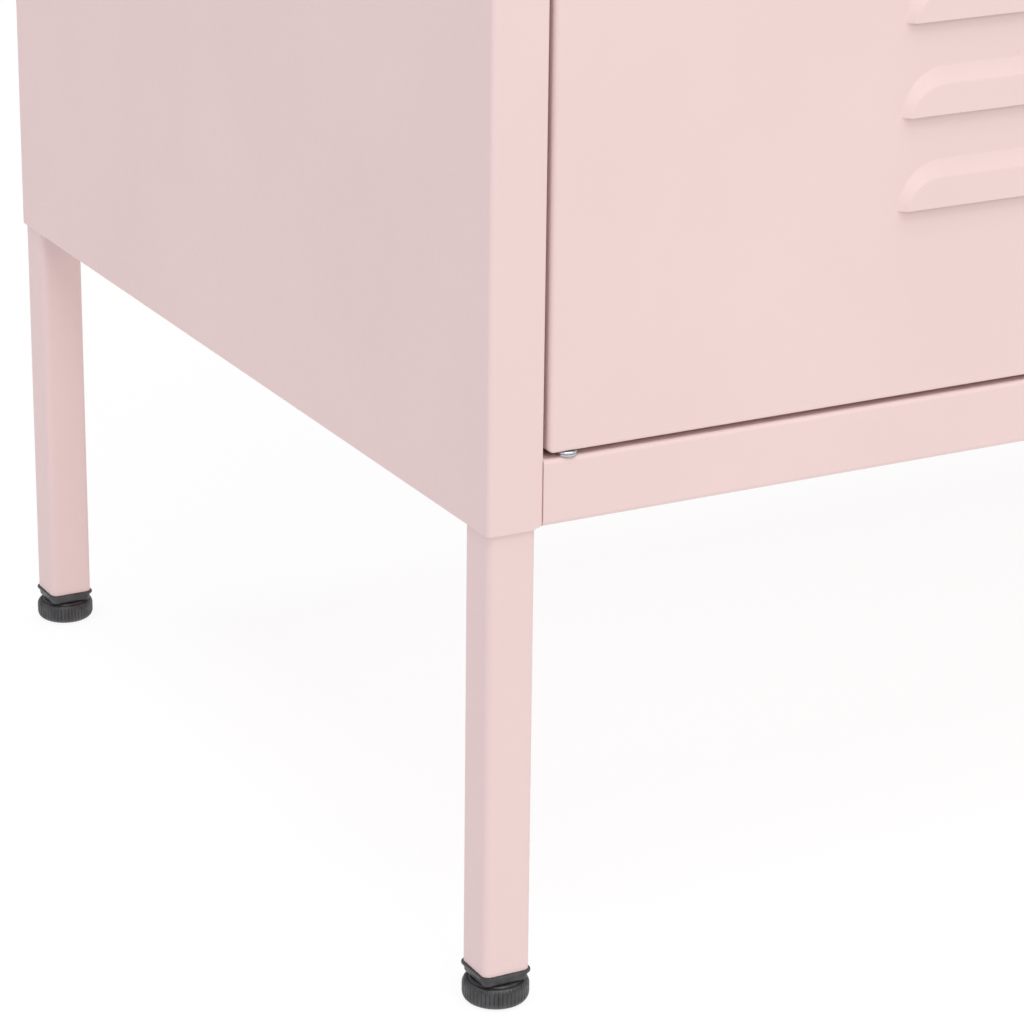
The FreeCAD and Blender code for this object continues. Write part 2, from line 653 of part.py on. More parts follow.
def foot_insert(x, y):
    """Plastic plug in the end of a leg: a collar below the tube, with a lip, and a threaded bore."""
    lip_bottom = LEG_BOTTOM - COLLAR_LIP
    collar = square_box(x, y, COLLAR_WIDTH, COLLAR_BOTTOM, lip_bottom, COLLAR_ROUND)
    lip = square_box(x, y, COLLAR_LIP_WIDTH, lip_bottom, LEG_BOTTOM, COLLAR_LIP_ROUND)
    plug = square_box(x, y, INSERT_WIDTH, LEG_BOTTOM, INSERT_TOP, TUBE_ROUND - TUBE_WALL)
    return collar.fuse([lip, plug]).cut(upright_rod(STEM_BORE, x, y, 0, INSERT_TOP + OVERCUT))


def levelling_foot(x, y):
    """Ribbed round foot with a screw stem; its rim has one rib to each pair of points."""
    points = []
    for step in range(2 * FOOT_RIBS + 1):
        radius = FOOT_RADIUS - FOOT_HOLLOW * (step % 2)
        angle = math.pi * step / FOOT_RIBS
        points.append(Vector(x + radius * math.cos(angle), y + radius * math.sin(angle), 0))
    ribbed = Part.Face(Part.makePolygon(points)).extrude(Vector(0, 0, FOOT_TOP))
    cone = Part.makeCone(FOOT_RADIUS - FOOT_CHAMFER, FOOT_RADIUS + FOOT_TOP,
                         FOOT_CHAMFER + FOOT_TOP, Vector(x, y, 0))
    return ribbed.common(cone).fuse(upright_rod(STEM_RADIUS, x, y, FOOT_TOP, STEM_TOP))


def save_carcass():
    save("bottom_panel", bottom_panel())
    save("top_panel", top_panel())
    save("back_panel", back_panel())
    save("centre_partition", centre_partition())
    save("strike_strip", strike_strip())
    save("door_bumpers", door_bumpers())
    save("pivot_washers", Part.makeCompound([on_side(pivot_washer(), side) for side in SIDES]))


def save_side(side):
    """Everything that comes once on the left and once on the right."""
    shapes = {
        "side_panel": side_panel(), "hinge_pin_lower": lower_pin(), "hinge_pin_upper": upper_pin(),
        "door": door(), "door_stiffener": door_stiffener(), "pivot_bushes": pivot_bushes(),
        "lock_housing": lock_housing(), "lock_nut": lock_nut(), "lock_plug": lock_plug(),
        "lock_cam": lock_cam(), "cam_screw": cam_screw(), "key": key(),
    }
    for name, shape in shapes.items():
        save(name + "_" + side, on_side(shape, side))
    save("shelf_clips_" + side, shelf_clips(side))
    for level, step in zip(("lower", "upper"), SHELF_SLOTS):
        raised = shelf().translated(Vector(0, 0, slot_heights()[step]))
        save("shelf_" + level + "_" + side, on_side(raised, side))


def save_legs():
    for side, sign in SIDES.items():
        for row, y in LEG_ROWS.items():
            corner = "_" + row + "_" + side
            save("leg" + corner, leg(sign * LEG_X, y))
            save("foot_insert" + corner, foot_insert(sign * LEG_X, y))
            save("levelling_foot" + corner, levelling_foot(sign * LEG_X, y))


os.makedirs("parts", exist_ok=True)
save_carcass()
for side_name in SIDES:
    save_side(side_name)
save_legs()
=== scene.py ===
import math

import bmesh
import bpy
from mathutils import Matrix, Vector


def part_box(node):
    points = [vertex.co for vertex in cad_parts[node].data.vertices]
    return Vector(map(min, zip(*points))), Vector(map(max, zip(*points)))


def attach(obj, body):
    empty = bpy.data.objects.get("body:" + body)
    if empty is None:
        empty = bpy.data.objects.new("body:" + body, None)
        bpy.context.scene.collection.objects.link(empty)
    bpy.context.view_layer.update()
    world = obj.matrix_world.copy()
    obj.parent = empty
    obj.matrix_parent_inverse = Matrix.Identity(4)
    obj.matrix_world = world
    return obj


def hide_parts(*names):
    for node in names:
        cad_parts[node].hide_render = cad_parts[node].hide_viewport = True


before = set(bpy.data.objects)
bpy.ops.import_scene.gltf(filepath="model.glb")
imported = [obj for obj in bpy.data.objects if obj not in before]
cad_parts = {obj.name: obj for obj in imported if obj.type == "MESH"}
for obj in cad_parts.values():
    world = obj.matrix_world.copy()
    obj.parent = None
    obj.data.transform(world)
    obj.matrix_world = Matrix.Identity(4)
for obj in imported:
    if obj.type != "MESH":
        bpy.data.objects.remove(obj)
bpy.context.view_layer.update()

# ---------------------------------------------------------------------------------------------
# Sizes. Meshes are drawn in millimetres: x is 0 at the cabinet's middle, y is 0 at its front
# face and grows towards the back, and z is 0 at the floor. add_piece() turns that into metres.
# ---------------------------------------------------------------------------------------------
MM = 0.001
SIDES = {"left": -1, "right": 1}
ROWS = ("front", "rear")

side_low, side_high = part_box("side_panel_right")
FRONT_Y = side_low.y
HALF_WIDTH = side_high.x / MM
DEPTH = (side_high.y - side_low.y) / MM
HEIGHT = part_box("top_panel")[1].z / MM
BODY_BOTTOM = side_low.z / MM

SHEET = 0.8
MID = SHEET / 2
BEND = 1.1                 # bend radius at the middle of the sheet
FLANGE_BEND = 0.5          # the tighter bend at the inner edge of a front flange
BEND_STEPS = 8
JOIN = 0.1
FLANGE = 17.2
OPENING = HALF_WIDTH - FLANGE
INNER_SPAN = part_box("back_panel")[1].x / MM
CHANNEL_DEPTH = 50.0
CHANNEL_LIP = 14.0
CHAMFER_X = 2.8
CHAMFER_Z = 1.5
EDGE = 0.16                # rounding that the paint gives a cut sheet edge
DOOR_EDGE = 0.2
MERGE = 1e-4               # points nearer than this are one point
SMOOTH_ANGLE = 40          # degrees; sharper edges stay sharp
FOLD_ANGLE = 50            # the same for pans, whose folds are already round
FLAT = 0.9999              # a face whose normal has this much of one axis is flat across it
BEYOND = 5.0               # how far a cutting shape reaches past the sheet it cuts

door_low, door_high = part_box("door_right")
DOOR_BOTTOM = door_low.z / MM
DOOR_TOP = door_high.z / MM
DOOR_INNER = door_low.x / MM
DOOR_OUTER = door_high.x / MM
DOOR_DEPTH = 18.0
DOOR_LIP = 12.0
DOOR_SIDE_ROUND = 1.8      # rounding of the fold along a door's left and right edges
DOOR_END_ROUND = 0.9       # the same along its top and bottom edges
DOOR_BACK_ROUND = 1.2
DOOR_CORNER = 1.9          # radius of the door's corners, seen from the front
CORNER_STEPS = 6
ROUND_STEPS = 7

RAIL_LIFT = 0.5
RAIL_LIP = 15.0
TAB_START = 0.5
TAB_END = 14.0
RAIL_GAP = 1.6             # gap above and below a door
FLOOR_TOP = DOOR_BOTTOM - RAIL_GAP
HEADER_BOTTOM = DOOR_TOP + RAIL_GAP
HEADER_DEPTH = 18.8
REAR_TURN = 16.0
REAR_FACE = DEPTH - SHEET - JOIN
TOP_UNDERSIDE = HEIGHT - SHEET
FLOOR_SIDE_TURN = 12.0
BACK_FOLD = 13.0
BACK_STEP = 0.02           # what the cutters of its folds leave in front of the back's skin
WALL_FIX_X = 300.0
WALL_FIX_Z = 960.0
WALL_FIX_RADIUS = 3.25

LOUVRES = 4
LOUVRE_PITCH = 27.1
LOUVRE_FIRST = 55.5
LOUVRE_MARGIN = 111.2
LOUVRE_HEIGHT = 14.0
LOUVRE_DEPTH = 2.0
LOUVRE_SLOPE = 5.0
LOUVRE_BASE_ROUND = 2.0
LOUVRE_BROW_ROUND = 2.4
LOUVRE_END_SLOPE = 2.4     # width of the slope at the ends of the lip, where the wall is steep
LOUVRE_END_ROUND = 0.85    # fillets of that steep wall
LOUVRE_ARC_STEPS = 6
LOUVRE_END_STEPS = 28

pin_low, pin_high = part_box("hinge_pin_lower_right")
bush_low, bush_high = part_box("pivot_bushes_right")
PIVOT_X = (pin_low.x + pin_high.x) / 2 / MM
PIVOT_Y = ((pin_low.y + pin_high.y) / 2 - FRONT_Y) / MM
PIN_RADIUS = (pin_high.x - pin_low.x) / 2 / MM
BUSH_RADIUS = (bush_high.x - bush_low.x) / 2 / MM
STRIP_FACE = 20.0
STRIP_WIDTH = 30.0
STRIP_HEM = 24.0
PARTITION_FOLD = 12.0
SLOT_FIRST = 205.0
SLOT_PITCH = 80.0
SLOTS = 10
SLOT_HEIGHTS = [SLOT_FIRST + SLOT_PITCH * step for step in range(SLOTS)]
SIDE_SLOT = 42.0           # from a side panel's front and back to its slots
SLOT_WIDTH = 3.0
SLOT_HEIGHT = 10.0
PARTITION_SLOTS = (60.0, 80.0, 270.0, 290.0)
LOCK_X = 30.8
LOCK_Z = 600.0
LOCK_HOLE = 9.3
STIFFENER_DEPTH = 13.0
STIFFENER_FOOT = 12.0

TUBE = 15.0
TUBE_WALL = 1.2
TUBE_ROUND = 2.3
TUBE_EASE = 0.25
COLLAR = 7.4               # half the width of an end plug's collar
COLLAR_LIP = 0.9           # thickness of the lip between the collar and the tube
PLUG_PLAY = 0.1
STEM_PLAY = 0.06
LEG_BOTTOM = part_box("leg_front_right")[0].z / MM
LEG_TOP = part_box("leg_front_right")[1].z / MM
FOOT_RADIUS = 9.85
FOOT_TOP = 6.7
FOOT_BOSS = FOOT_TOP + 0.5
FOOT_RIBS = 48
RIB_STEPS = 6
RIB_SHARPNESS = 2.2        # the higher, the narrower the grooves between the ribs
STEM_RADIUS = 4.0
STEM_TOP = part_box("levelling_foot_front_right")[1].z / MM
SHELF_CORNER = 1.6
SHELF_ROUND = 1.4
WASHER_EASE = 0.22
WASHER_GROOVE = 0.3
FULL_TURN = 2 * math.pi
ROUND = 48                 # points in a circle


# ---------------------------------------------------------------------------------------------
# Turning mesh data into pieces
# ---------------------------------------------------------------------------------------------
def clean(bm):
    """Join points that meet, and turn every face outwards."""
    bmesh.ops.remove_doubles(bm, verts=bm.verts, dist=MERGE)
    bmesh.ops.recalc_face_normals(bm, faces=bm.faces)


def add_piece(name, bm, material, body, replaced, side="right"):
    """Make an object from a mesh drawn in millimetres, and let it stand for a CAD node."""
    if side == "left":
        bmesh.ops.scale(bm, vec=(-1, 1, 1), verts=bm.verts)
    clean(bm)
    bmesh.ops.scale(bm, vec=(MM, MM, MM), verts=bm.verts)
    bmesh.ops.translate(bm, vec=(0, FRONT_Y, 0), verts=bm.verts)
    mesh = bpy.data.meshes.new(name)
    bm.to_mesh(mesh)
    bm.free()
    mesh.polygons.foreach_set("use_smooth", [True] * len(mesh.polygons))
    mesh.set_sharp_from_angle(angle=math.radians(SMOOTH_ANGLE))
    mesh.materials.append(material)
    piece = bpy.data.objects.new(name, mesh)
    bpy.context.scene.collection.objects.link(piece)
    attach(piece, body)
    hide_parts(replaced)
    return piece


def finish_edges(piece, width=EDGE, angle=SMOOTH_ANGLE):
    """Round a piece's sharp edges and keep its flat faces flat-shaded."""
    bevel = piece.modifiers.new("edges", "BEVEL")
    bevel.width = width * MM
    bevel.segments = 2
    bevel.limit_method = "ANGLE"
    bevel.angle_limit = math.radians(angle)
    bevel.use_clamp_overlap = False
    bevel.miter_outer = "MITER_ARC"
    even_shading(piece)


def even_shading(piece):
    """Let the large faces decide the shading of the small ones beside them."""
    normals = piece.modifiers.new("shading", "WEIGHTED_NORMAL")
    normals.keep_sharp = True
    normals.weight = 50


def work_object(bm):
    """A passing object that holds a mesh while a modifier works on it."""
    clean(bm)
    mesh = bpy.data.meshes.new("work")
    bm.to_mesh(mesh)
    bm.free()
    worker = bpy.data.objects.new("work", mesh)
    bpy.context.scene.collection.objects.link(worker)
    return worker


def take_result(worker, *others):
    """The mesh of a passing object with its modifiers applied; all the objects are then removed."""
    graph = bpy.context.evaluated_depsgraph_get()
    graph.update()
    result = bmesh.new()
    result.from_mesh(worker.evaluated_get(graph).to_mesh())
    for used in (worker, *others):
        mesh = used.data
        bpy.data.objects.remove(used)
        bpy.data.meshes.remove(mesh)
    return result


def boolean(bm, other, operation="DIFFERENCE"):
    """bm with the closed shapes of other cut away or joined on; both are in millimetres."""
    base = work_object(bm)
    tool = work_object(other)
    modifier = base.modifiers.new("work", "BOOLEAN")
    modifier.object = tool
    modifier.operation = operation
    modifier.solver = "EXACT"
    return take_result(base, tool)


def solid_sheet(bm):
    """Give an open surface its sheet thickness, on the inside."""
    worker = work_object(bm)
    solidify = worker.modifiers.new("work", "SOLIDIFY")
    solidify.thickness = SHEET
    solidify.offset = -1
    solidify.use_even_offset = True
    return take_result(worker)


# ---------------------------------------------------------------------------------------------
# Shapes
# ---------------------------------------------------------------------------------------------
def left_of(direction):
    """A direction in the plane, turned a quarter turn to the left."""
    return Vector((-direction.y, direction.x))


def sheet_stations(path, radii):
    """Pairs of points, one on each face of a folded sheet, along its middle line."""
    points = [Vector(point) for point in path]
    radii = radii or [BEND] * (len(points) - 2)
    direction = (points[1] - points[0]).normalized()
    stations = [(points[0], left_of(direction))]
    for before, corner, after, radius in zip(points, points[1:], points[2:], radii):
        arriving = (corner - before).normalized()
        leaving = (after - corner).normalized()
        turn = math.atan2(arriving.x * leaving.y - arriving.y * leaving.x, arriving.dot(leaving))
        sign = math.copysign(1, turn)
        cut = radius * math.tan(abs(turn) / 2)
        centre = corner - arriving * cut + left_of(arriving) * radius * sign
        for step in range(BEND_STEPS + 1):
            normal = left_of(arriving).copy()
            normal.rotate(Matrix.Rotation(turn * step / BEND_STEPS, 2))
            stations.append((centre - normal * radius * sign, normal))
        direction = leaving
    stations.append((points[-1], left_of(direction)))
    return [(point + normal * MID, point - normal * MID) for point, normal in stations]


def sheet(path, low, high, place, radii=None):
    """A folded sheet of the section path, from low to high; place(u, v, w) gives the 3-D point."""
    bm = bmesh.new()
    rows = []
    for near, far in sheet_stations(path, radii):
        rows.append([bm.verts.new(place(p.x, p.y, w)) for p in (near, far) for w in (low, high)])
    for (a, b, c, d), (e, f, g, h) in zip(rows, rows[1:]):
        for face in ((a, b, f, e), (c, g, h, d), (a, e, g, c), (b, d, h, f)):
            bm.faces.new(face)
    for a, b, c, d in (rows[0], rows[-1]):
        bm.faces.new((a, c, d, b))
    return bm


def upright(x, y, z):
    """A plan section, drawn in x and y and run along z."""
    return (x, y, z)


def level(y, z, x):
    """A side section, drawn in y and z and run along x."""
    return (x, y, z)


def endwise(x, z, y):
    """A front section, drawn in x and z and run along y."""
    return (x, y, z)


def merge(*parts):
    """Several meshes as one, which may be separate closed shapes."""
    whole = bmesh.new()
    for part in parts:
        mesh = bpy.data.meshes.new("work")
        part.to_mesh(mesh)
        part.free()
        whole.from_mesh(mesh)
        bpy.data.meshes.remove(mesh)
    return whole


def block(x0, x1, y0, y1, z0, z1):
    """A plain closed block, for cutting."""
    bm = bmesh.new()
    size = Matrix.Diagonal((x1 - x0, y1 - y0, z1 - z0, 1))
    middle = Matrix.Translation(((x0 + x1) / 2, (y0 + y1) / 2, (z0 + z1) / 2))
    bmesh.ops.create_cube(bm, size=1, matrix=middle @ size)
    return bm


def add_band(bm, rings, closed=False):
    """Join rings of the same number of points into a band, and return the rings' vertices."""
    loops = [[bm.verts.new(point) for point in ring] for ring in rings]
    pairs = list(zip(loops, loops[1:])) + ([(loops[-1], loops[0])] if closed else [])
    for lower, upper in pairs:
        for i in range(len(lower)):
            j = (i + 1) % len(lower)
            bm.faces.new((lower[i], lower[j], upper[j], upper[i]))
    return loops


def loft(rings, closed=False):
    """A shape from a band of rings, with the first and last capped unless it is closed."""
    bm = bmesh.new()
    loops = add_band(bm, rings, closed)
    if not closed:
        bm.faces.new(loops[0])
        bm.faces.new(loops[-1])
    return bm


def circle(radius, height, centre, place=upright):
    angles = [FULL_TURN * i / ROUND for i in range(ROUND)]
    return [place(centre[0] + radius * math.cos(angle), centre[1] + radius * math.sin(angle), height)
            for angle in angles]


def rod(radius, low, high, centre, place=upright):
    return loft([circle(radius, low, centre, place), circle(radius, high, centre, place)])


def rounded_square(half, corner, z, centre, steps=8):
    """A ring round a square with rounded corners."""
    ring = []
    for quarter in range(4):
        middle_x = centre[0] + (half - corner) * (1, -1, -1, 1)[quarter]
        middle_y = centre[1] + (half - corner) * (1, 1, -1, -1)[quarter]
        for step in range(steps + 1):
            angle = math.pi / 2 * (quarter + step / steps)
            ring.append((middle_x + corner * math.cos(angle), middle_y + corner * math.sin(angle), z))
    return ring


# ---------------------------------------------------------------------------------------------
# Materials
# ---------------------------------------------------------------------------------------------
RAMP_START = 0.35
RAMP_END = 0.65


def new_material(name, colour, roughness, metallic=0.0, specular=0.5):
    """A material with its node tree and its shader."""
    material = bpy.data.materials.new(name)
    material.use_nodes = True
    shader = material.node_tree.nodes["Principled BSDF"]
    shader.inputs["Base Color"].default_value = (*colour, 1)
    shader.inputs["Roughness"].default_value = roughness
    shader.inputs["Metallic"].default_value = metallic
    shader.inputs["Specular IOR Level"].default_value = specular
    return material, material.node_tree, shader


def noise(tree, scale, detail=2.0, stretch=(1, 1, 1)):
    """A noise texture that sticks to the object; scale is in cycles per metre."""
    coordinates = tree.nodes.new("ShaderNodeTexCoord")
    mapping = tree.nodes.new("ShaderNodeMapping")
    mapping.inputs["Scale"].default_value = stretch
    texture = tree.nodes.new("ShaderNodeTexNoise")
    texture.inputs["Scale"].default_value = scale
    texture.inputs["Detail"].default_value = detail
    tree.links.new(coordinates.outputs["Object"], mapping.inputs["Vector"])
    tree.links.new(mapping.outputs["Vector"], texture.inputs["Vector"])
    return texture.outputs["Fac"]


def ramp(tree, factor, low, high):
    """Two colours or two greys spread over a noise's middle range."""
    node = tree.nodes.new("ShaderNodeValToRGB")
    first, last = node.color_ramp.elements
    first.position = RAMP_START
    last.position = RAMP_END
    first.color = (*low, 1) if isinstance(low, tuple) else (low, low, low, 1)
    last.color = (*high, 1) if isinstance(high, tuple) else (high, high, high, 1)
    tree.links.new(factor, node.inputs["Fac"])
    return node.outputs["Color"]


def add_bump(tree, shader, heights):
    """Stack bumps: each entry is (height output, strength, distance in metres)."""
    normal = None
    for height, strength, distance in heights:
        bump = tree.nodes.new("ShaderNodeBump")
        bump.inputs["Strength"].default_value = strength
        bump.inputs["Distance"].default_value = distance
        tree.links.new(height, bump.inputs["Height"])
        if normal is not None:
            tree.links.new(normal, bump.inputs["Normal"])
        normal = bump.outputs["Normal"]
    tree.links.new(normal, shader.inputs["Normal"])


def tint(colour, factor):
    """A lighter or darker colour."""
    return tuple(channel * factor for channel in colour)


def make_matt(name, colour, mottle, sheen, grains):
    """A matt material with a mottled colour, an uneven sheen and one or more grains.
    Each of the three begins with a noise's scale and detail. Then come the mottle's darkest and
    lightest factors, the sheen's lowest and highest roughness, or a grain's strength and height."""
    *spots, dark, light = mottle
    *patches, smooth, rough = sheen
    material, tree, shader = new_material(name, colour, (smooth + rough) / 2)
    tone = ramp(tree, noise(tree, *spots), tint(colour, dark), tint(colour, light))
    tree.links.new(tone, shader.inputs["Base Color"])
    tree.links.new(ramp(tree, noise(tree, *patches), smooth, rough), shader.inputs["Roughness"])
    add_bump(tree, shader, [(noise(tree, scale, detail), strength, height)
                            for scale, detail, strength, height in grains])
    return material


def make_metal(name, colour, roughness, stretch):
    """Plated metal with fine brushing along one direction."""
    material, tree, shader = new_material(name, colour, roughness, metallic=1.0)
    tone = ramp(tree, noise(tree, 180, 3), tint(colour, 0.88), colour)
    tree.links.new(tone, shader.inputs["Base Color"])
    brushed = noise(tree, 2600, 3, stretch)
    tree.links.new(ramp(tree, brushed, roughness * 0.75, roughness * 1.35), shader.inputs["Roughness"])
    add_bump(tree, shader, [(brushed, 0.12, 0.00006)])
    return material


# Powder coat: faint mottling, an orange-peel skin and a very fine grain on top of it.
coat = make_matt("pink_powder_coat", (0.80, 0.618, 0.602), mottle=(14, 3, 0.988, 1.012),
                 sheen=(420, 3, 0.46, 0.56), grains=[(520, 2, 0.16, 0.0002), (1900, 2, 0.10, 0.00008)])
# Moulded plastic with faint scuffs.
plastic = make_matt("black_moulded_plastic", (0.040, 0.039, 0.042), mottle=(260, 4, 0.75, 1.5),
                    sheen=(900, 4, 0.28, 0.46), grains=[(1500, 3, 0.22, 0.00012)])
nylon = make_matt("white_nylon", (0.78, 0.77, 0.73), mottle=(320, 3, 0.94, 1.0),
                  sheen=(700, 2, 0.38, 0.52), grains=[(1400, 2, 0.12, 0.0001)])
rubber = make_matt("grey_rubber", (0.27, 0.27, 0.28), mottle=(400, 4, 0.85, 1.12),
                   sheen=(800, 2, 0.66, 0.84), grains=[(1800, 3, 0.25, 0.00012)])
zinc = make_metal("zinc_plate", (0.60, 0.61, 0.63), 0.28, (1, 1, 0.08))
nickel = make_metal("nickel_plate", (0.74, 0.72, 0.69), 0.20, (1, 0.1, 1))
MATERIALS = {"pink_coat": coat, "black_plastic": plastic, "zinc_steel": zinc,
             "nickel": nickel, "white_nylon": nylon, "grey_rubber": rubber}
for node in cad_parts.values():
    for index, material in enumerate(node.data.materials):
        node.data.materials[index] = MATERIALS[material.name.split(".")[0]]


# ---------------------------------------------------------------------------------------------
# Carcass
# ---------------------------------------------------------------------------------------------
def slot_blocks(x, rows):
    """Cutters for the shelf clips' slots in a wall at x, in upright rows at the given depths."""
    half = SLOT_WIDTH / 2
    return [block(x - BEYOND, x + BEYOND, y - half, y + half, z, z + SLOT_HEIGHT)
            for y in rows for z in SLOT_HEIGHTS]


def chamfer_cutter():
    """The corner cut off the lower inner end of a side panel's front flange."""
    fall = CHAMFER_Z / CHAMFER_X
    outer = OPENING + CHAMFER_X + BEYOND
    inner = OPENING - BEYOND
    low = BODY_BOTTOM - BEYOND * fall
    high = BODY_BOTTOM + CHAMFER_Z + BEYOND * fall
    points = [(outer, low), (inner, high), (inner, low)]
    return loft([[(x, -BEYOND, z) for x, z in points], [(x, 2 * SHEET, z) for x, z in points]])


def build_side_panel(side):
    """A side: one sheet folded into a channel at the front and at the back, with clip slots."""
    outer = HALF_WIDTH - MID
    inner = OPENING + MID
    front_end = CHANNEL_DEPTH - MID
    rear_end = DEPTH - CHANNEL_DEPTH + MID
    path = [(inner + CHANNEL_LIP, front_end), (inner, front_end), (inner, MID), (outer, MID),
            (outer, DEPTH - MID), (inner, DEPTH - MID), (inner, rear_end),
            (inner + CHANNEL_LIP, rear_end)]
    radii = [BEND, FLANGE_BEND, BEND, BEND, FLANGE_BEND, BEND]
    panel = sheet(path, BODY_BOTTOM, TOP_UNDERSIDE, upright, radii)
    cuts = slot_blocks(inner, (SIDE_SLOT, DEPTH - SIDE_SLOT)) + [chamfer_cutter()]
    panel = boolean(panel, merge(*cuts))
    name = "side_panel_" + side
    finish_edges(add_piece("skin_" + side, panel, coat, "carcass", name, side))


def pin_holes(z):
    """Cutters for the hinge pins' holes in a level sheet at z."""
    return [rod(PIN_RADIUS, z - BEYOND, z + BEYOND, (sign * PIVOT_X, PIVOT_Y)) for sign in (-1, 1)]


def build_bottom_panel():
    """The floor with the front rail, a turn down at the back, side wings and end tabs."""
    rail = BODY_BOTTOM + RAIL_LIFT + MID
    floor = FLOOR_TOP - MID
    rear = REAR_FACE - MID
    path = [(RAIL_LIP, rail), (MID, rail), (MID, floor), (rear, floor), (rear, floor - REAR_TURN)]
    panel = sheet(path, -INNER_SPAN, INNER_SPAN, level)
    edge = HALF_WIDTH - SHEET - JOIN - MID
    for sign in SIDES.values():
        turn = [(sign * (INNER_SPAN - BEYOND), floor), (sign * edge, floor),
                (sign * edge, FLOOR_TOP - FLOOR_SIDE_TURN)]
        wing = sheet(turn, CHANNEL_DEPTH + JOIN, DEPTH - CHANNEL_DEPTH - JOIN, endwise)
        panel = boolean(panel, wing, "UNION")
        tab_x = sign * (INNER_SPAN - MID)
        tab = sheet([(tab_x, TAB_START), (tab_x, TAB_END)], rail, floor, upright)
        panel = boolean(panel, tab, "UNION")
    panel = boolean(panel, merge(*pin_holes(FLOOR_TOP)))
    finish_edges(add_piece("floor_and_rail", panel, coat, "carcass", "bottom_panel"))


def build_top_panel():
    """The top with the header above the doors and a turn down at the back."""
    plate = HEIGHT - MID
    header = HEADER_BOTTOM + MID
    turn = HEADER_DEPTH - MID
    path = [(turn, header + REAR_TURN / 2), (turn, header), (MID, header), (MID, plate), (DEPTH, plate)]
    panel = sheet(path, -HALF_WIDTH, HALF_WIDTH, level)
    ends = [block(x0, x1, -BEYOND, DEPTH + BEYOND, HEADER_BOTTOM - BEYOND, TOP_UNDERSIDE)
            for x0, x1 in ((-HALF_WIDTH - BEYOND, -INNER_SPAN), (INNER_SPAN, HALF_WIDTH + BEYOND))]
    panel = boolean(panel, merge(*ends, *pin_holes(HEADER_BOTTOM)))
    rear = REAR_FACE - MID
    back_turn = sheet([(rear, TOP_UNDERSIDE - REAR_TURN), (rear, plate)], -INNER_SPAN, INNER_SPAN, level)
    panel = boolean(panel, back_turn, "UNION")
    finish_edges(add_piece("top_and_header", panel, coat, "carcass", "top_panel"))


def build_back_panel():
    """The back skin with its folded edges and the two wall-fixing holes."""
    low = FLOOR_TOP + 2 * SHEET
    high = HEIGHT - REAR_TURN - 2 * SHEET
    side = INNER_SPAN - MID
    skin = DEPTH - MID
    path = [(-side, skin - BACK_FOLD), (-side, skin), (side, skin), (side, skin - BACK_FOLD)]
    panel = sheet(path, BODY_BOTTOM, TOP_UNDERSIDE, upright)
    far = INNER_SPAN + BEYOND
    ends = [block(-far, far, 0, DEPTH - SHEET - BACK_STEP, z0, z1)
            for z0, z1 in ((BODY_BOTTOM - BEYOND, low), (high, TOP_UNDERSIDE + BEYOND))]
    holes = [rod(WALL_FIX_RADIUS, DEPTH - BEYOND, DEPTH + BEYOND, (x, WALL_FIX_Z), endwise)
             for x in (-WALL_FIX_X, WALL_FIX_X)]
    panel = boolean(panel, merge(*ends, *holes))
    finish_edges(add_piece("back_skin", panel, coat, "carcass", "back_panel"))


def build_partition():
    """The centre partition with its clip slots, and the strip that the doors close against."""
    front = STRIP_FACE + SHEET + MID
    back = REAR_FACE - SHEET - JOIN - MID
    path = [(-PARTITION_FOLD, front), (0, front), (0, back), (-PARTITION_FOLD, back)]
    panel = sheet(path, FLOOR_TOP, TOP_UNDERSIDE, upright)
    panel = boolean(panel, merge(*slot_blocks(0, PARTITION_SLOTS)))
    finish_edges(add_piece("partition", panel, coat, "carcass", "centre_partition"))
    side = STRIP_WIDTH / 2 - MID
    face = STRIP_FACE + MID
    strip = sheet([(-side, STRIP_HEM), (-side, face), (side, face), (side, STRIP_HEM)],
                  FLOOR_TOP, TOP_UNDERSIDE, upright)
    finish_edges(add_piece("closing_strip", strip, coat, "carcass", "strike_strip"))


# ---------------------------------------------------------------------------------------------
# Doors
# ---------------------------------------------------------------------------------------------
def rim_samples(x0, x1, z0, z1, corner):
    """Samples round a rectangle with rounded corners: arc centre, corner signs, outward normal."""
    samples = []
    for quarter, (sx, sz) in enumerate(((1, 1), (-1, 1), (-1, -1), (1, -1))):
        centre_x = (x1 - corner) if sx > 0 else (x0 + corner)
        centre_z = (z1 - corner) if sz > 0 else (z0 + corner)
        for step in range(CORNER_STEPS + 1):
            angle = math.pi / 2 * (quarter + step / CORNER_STEPS)
            samples.append((centre_x, centre_z, sx, sz, math.cos(angle), math.sin(angle)))
    return samples


def rim_point(sample, inset, corner):
    """A point that far inside the rectangle's edge; deeper than the corner radius it is mitred."""
    x, z, sx, sz, nx, nz = sample
    arc = max(corner - inset, 0)
    mitre = max(inset - corner, 0)
    return x + nx * arc - sx * mitre, z + nz * arc - sz * mitre


